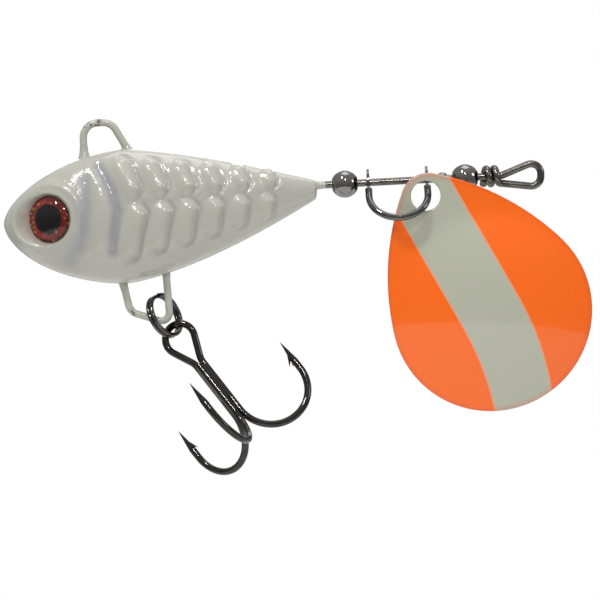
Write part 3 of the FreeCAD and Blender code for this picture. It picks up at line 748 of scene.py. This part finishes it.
# %% Eye finishes
def print_finish():
    finish, main = new_finish("eye_print", Roughness=0.35, Specular_IOR_Level=0.04)
    away = attribute(finish, "from_middle")
    place = node(finish, "ShaderNodeTexCoord").outputs["Object"]
    cells = node(finish, "ShaderNodeTexVoronoi", {"Vector": place, "Scale": 2000})
    flecks = between(finish, cells.outputs["Distance"], 0.42, 0.2)
    patches = between(finish, noise(finish, 1000, 2), 0.4, 0.52)
    gold = multiplied(finish, flecks, patches)
    red = ramp(finish, away, (0.5, (0.05, 0.004, 0.002)), (0.62, (0.42, 0.03, 0.012)),
               (0.86, (0.55, 0.03, 0.015)), (0.97, (0.05, 0.006, 0.004)))
    shade = mixed(finish, gold, red, (0.95, 0.5, 0.12))
    pupil = between(finish, away, 0.62, 0.58)
    shade = mixed(finish, pupil, shade, (0.002, 0.002, 0.002))
    link(finish, shade, main, "Base Color")
    shiny = node(finish, "ShaderNodeMapRange", {"Value": pupil, "To Min": 0.45, "To Max": 0.0})
    link(finish, shiny.outputs["Result"], main, "Metallic")
    return finish


def resin_finish():
    finish, main = new_finish("clear_resin", Roughness=0.03, Transmission_Weight=1.0, IOR=1.45)
    haze = between(finish, noise(finish, 700, 2), 0.2, 0.9)
    link(finish, ramp(finish, haze, (0, (1, 1, 1)), (1, (0.94, 0.95, 0.96))), main, "Base Color")
    return finish


eye_print, resin = print_finish(), resin_finish()
for foil in (left_foil, right_foil):
    wear(foil, eye_print)
for dome in (left_dome, right_dome):
    wear(dome, resin)

# %% [markdown]
# ## Plated metal
# Black nickel is a dark mirror with a slightly warm tone. Drawn and bent wire is never a perfect
# mirror: fine scratches and small clouds in the plating vary its colour and its roughness.

# %% Metal finishes
def plated_finish(name, colour, rough, clouds_scale=900):
    finish, main = new_finish(name, Metallic=1.0)
    clouds = noise(finish, clouds_scale, 4, 0.6)
    lighter = tuple(min(1, c * 1.5) for c in colour)
    link(finish, ramp(finish, clouds, (0.3, colour), (0.75, lighter)), main, "Base Color")
    scratched = node(finish, "ShaderNodeMapRange",
                     {"Value": noise(finish, 4000, 2), "From Min": 0.3, "From Max": 0.7,
                      "To Min": rough * 0.7, "To Max": rough * 1.5})
    link(finish, scratched.outputs["Result"], main, "Roughness")
    link(finish, bump(finish, noise(finish, 2600, 3), 0.00002, 0.4), main, "Normal")
    return finish


bead_plate = plated_finish("black_nickel_bead", (0.19, 0.18, 0.175), 0.07)
clevis_plate = plated_finish("black_nickel_clevis", (0.11, 0.105, 0.10), 0.09)
ring_plate = plated_finish("black_nickel_ring", (0.085, 0.08, 0.075), 0.1)
hook_plate = plated_finish("black_nickel_hook", (0.045, 0.043, 0.042), 0.09)
solder_plate = plated_finish("plated_solder", (0.05, 0.047, 0.045), 0.16, 1800)
for bead in beads:
    wear(bead, bead_plate)
wear(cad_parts["clevis"], clevis_plate)
wear(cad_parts["split_ring"], ring_plate)
wear(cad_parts["treble_double_hook"], hook_plate)
wear(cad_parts["treble_single_hook"], hook_plate)
for barb in barbs:
    wear(barb, hook_plate)
wear(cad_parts["treble_braze"], solder_plate)

# %% [markdown]
# ## The through-wire
# The wire is dipped with the body, so it is painted wherever it is near the lead: the line tie,
# the hook hanger and the first two millimetres of the shaft. Paint has chipped off inside the
# loops, where rings and snaps rub. Behind that the wire is bare, dark steel.

# %% Wire finish
PAINT_ENDS = 23.9 * MM
# heights between which the chips set in, down the hanger and up the line tie
HANGER_CHIPS = -18.6 * MM, -19.2 * MM
TIE_CHIPS = 1.0 * MM, 1.3 * MM


def wire_finish():
    finish, main = new_finish("wire_paint_and_steel", Coat_Roughness=0.1)
    place = node(finish, "ShaderNodeTexCoord").outputs["Object"]
    apart = node(finish, "ShaderNodeSeparateXYZ", {"Vector": place})
    ragged = multiplied(finish, noise(finish, 1400, 3), 0.0012)
    along = node(finish, "ShaderNodeMath", {0: apart.outputs["X"], 1: ragged}, operation="ADD")
    bare = between(finish, along.outputs[0], PAINT_ENDS, PAINT_ENDS + 0.0003)
    low = between(finish, apart.outputs["Z"], *HANGER_CHIPS)
    high = between(finish, apart.outputs["Z"], *TIE_CHIPS)
    rubbed = larger(finish, low, high)
    chips = between(finish, noise(finish, 1100, 3, 0.7), 0.54, 0.58)
    metal = larger(finish, bare, multiplied(finish, chips, rubbed))
    steel = ramp(finish, noise(finish, 900, 3),
                 (0.3, (0.10, 0.095, 0.085)), (0.8, (0.2, 0.185, 0.165)))
    link(finish, mixed(finish, metal, PAINT, steel), main, "Base Color")
    link(finish, metal, main, "Metallic")
    rough = node(finish, "ShaderNodeMapRange", {"Value": noise(finish, 2500, 2), "To Min": 0.14,
                                                "To Max": 0.3})
    link(finish, rough.outputs["Result"], main, "Roughness")
    return finish


wear(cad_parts["through_wire"], wire_finish())

# %% [markdown]
# ## Blade lacquer
# The front is sprayed orange with an off-white band, which curves a little towards one side of
# the wide end, under a thick clear coat. A hairline of pink shows where the colours meet, and
# the orange is deeper along the rim. The hollow side is bare nickel.

# %% Blade finish
RAMP_START, RAMP_END = -4, 8  # distances from the band's edge in millimetres
HAIRLINE = 0.012  # as a share of the ramp


def blade_finish():
    finish, main = new_finish("blade_lacquer", Coat_Weight=0.6, Coat_Roughness=0.03,
                              Specular_IOR_Level=0.25)
    off = attribute(finish, "from_band")
    place = between(finish, off, RAMP_START, RAMP_END)
    white, pink, orange = (0.46, 0.47, 0.37), (0.78, 0.38, 0.24), (1.0, 0.15, 0.004)
    meet = -RAMP_START / (RAMP_END - RAMP_START)
    colours = ramp(finish, place, (0, white), (meet - HAIRLINE, white),
                   (meet, pink), (meet + HAIRLINE, orange), (1, orange))
    rim = between(finish, attribute(finish, "from_edge"), 0.9, 0.0)
    painted = mixed(finish, multiplied(finish, rim, 0.4), colours, (0.6, 0.09, 0.02))
    face = attribute(finish, "front_face")
    link(finish, mixed(finish, face, (0.55, 0.53, 0.50), painted), main, "Base Color")
    bare = node(finish, "ShaderNodeMath", {0: 1.0, 1: face}, operation="SUBTRACT")
    link(finish, bare.outputs[0], main, "Metallic")
    rough = node(finish, "ShaderNodeMapRange", {"Value": noise(finish, 700, 3), "To Min": 0.16,
                                                "To Max": 0.26})
    link(finish, rough.outputs["Result"], main, "Roughness")
    link(finish, bump(finish, noise(finish, 350, 2), 0.00004, 0.3), main, "Normal")
    return finish


wear(blade, blade_finish())

# %% [markdown]
# ## Floor and light
# A pale floor lies well under the lure, and soft boxes above, in front, behind and at the side
# light it. The world is white to the camera, but what lights the lure and shines in the metal is
# a room that is bright overhead and darker below, which gives dark plating its black streaks.

# %% Floor
FLOOR_DROP = 25.0
FLOOR_RADIUS = 110.0


def add_floor():
    """A disc of rings about the lure, below its lowest point."""
    low = float(cad_box[0][2]) / MM - FLOOR_DROP
    rings = np.array([0.0, 30.0, 70.0, FLOOR_RADIUS])
    points = turned_profile(np.zeros_like(rings), rings, (20, 0, low), (0, 0, 1), turns=64)
    floor = add_surface("floor", points)
    finish, main = new_finish("floor_paper", Roughness=1.0, Specular_IOR_Level=0.1)
    grain = noise(finish, 300, 2)
    link(finish, ramp(finish, grain, (0.2, (0.9, 0.9, 0.9)), (0.8, (0.93, 0.93, 0.93))),
         main, "Base Color")
    wear(floor, finish)


add_floor()

# %% Lights
def add_light(name, place, size, power):
    """A square soft box aimed at the middle of the lure; place is in millimetres."""
    lamp = bpy.data.lights.new(name, "AREA")
    lamp.shape = "SQUARE"
    lamp.size = size * MM
    lamp.energy = power
    holder = bpy.data.objects.new(name, lamp)
    spot = Vector(place) * MM
    aim = (VIEW_MIDDLE - spot).to_track_quat("-Z", "Y")
    holder.matrix_world = Matrix.Translation(spot) @ aim.to_matrix().to_4x4()
    bpy.context.scene.collection.objects.link(holder)


add_light("key", (-90, -190, 270), 36, 0.5)
add_light("top", (60, 40, 340), 220, 0.3)
add_light("back", (40, 320, 140), 240, 0.25)
add_light("side", (330, -90, 90), 90, 0.14)
add_light("sparkle", (40, -300, 190), 18, 0.22)


def light_world():
    """Directions are read as a height: bright overhead, mid grey level, darker below."""
    world = bpy.data.worlds.new("studio")
    world.use_nodes = True
    bpy.context.scene.world = world
    world.node_tree.nodes.clear()
    place = node(world, "ShaderNodeTexCoord").outputs["Generated"]
    apart = node(world, "ShaderNodeSeparateXYZ", {"Vector": place})
    lit = ramp(world, between(world, apart.outputs["Z"], -1.0, 1.0), (0.0, (0.35, 0.35, 0.35)),
               (0.48, (0.52, 0.52, 0.53)), (0.62, (0.75, 0.75, 0.75)), (1.0, (1.0, 1.0, 1.0)))
    room = node(world, "ShaderNodeBackground", {"Color": lit, "Strength": 0.62})
    paper = node(world, "ShaderNodeBackground", {"Color": (1, 1, 1, 1), "Strength": 1.0})
    seen = node(world, "ShaderNodeLightPath").outputs["Is Camera Ray"]
    both = node(world, "ShaderNodeMixShader", {0: seen, 1: room.outputs[0], 2: paper.outputs[0]})
    node(world, "ShaderNodeOutputWorld", {"Surface": both.outputs[0]})


light_world()
bpy.context.scene.view_settings.view_transform = "Standard"
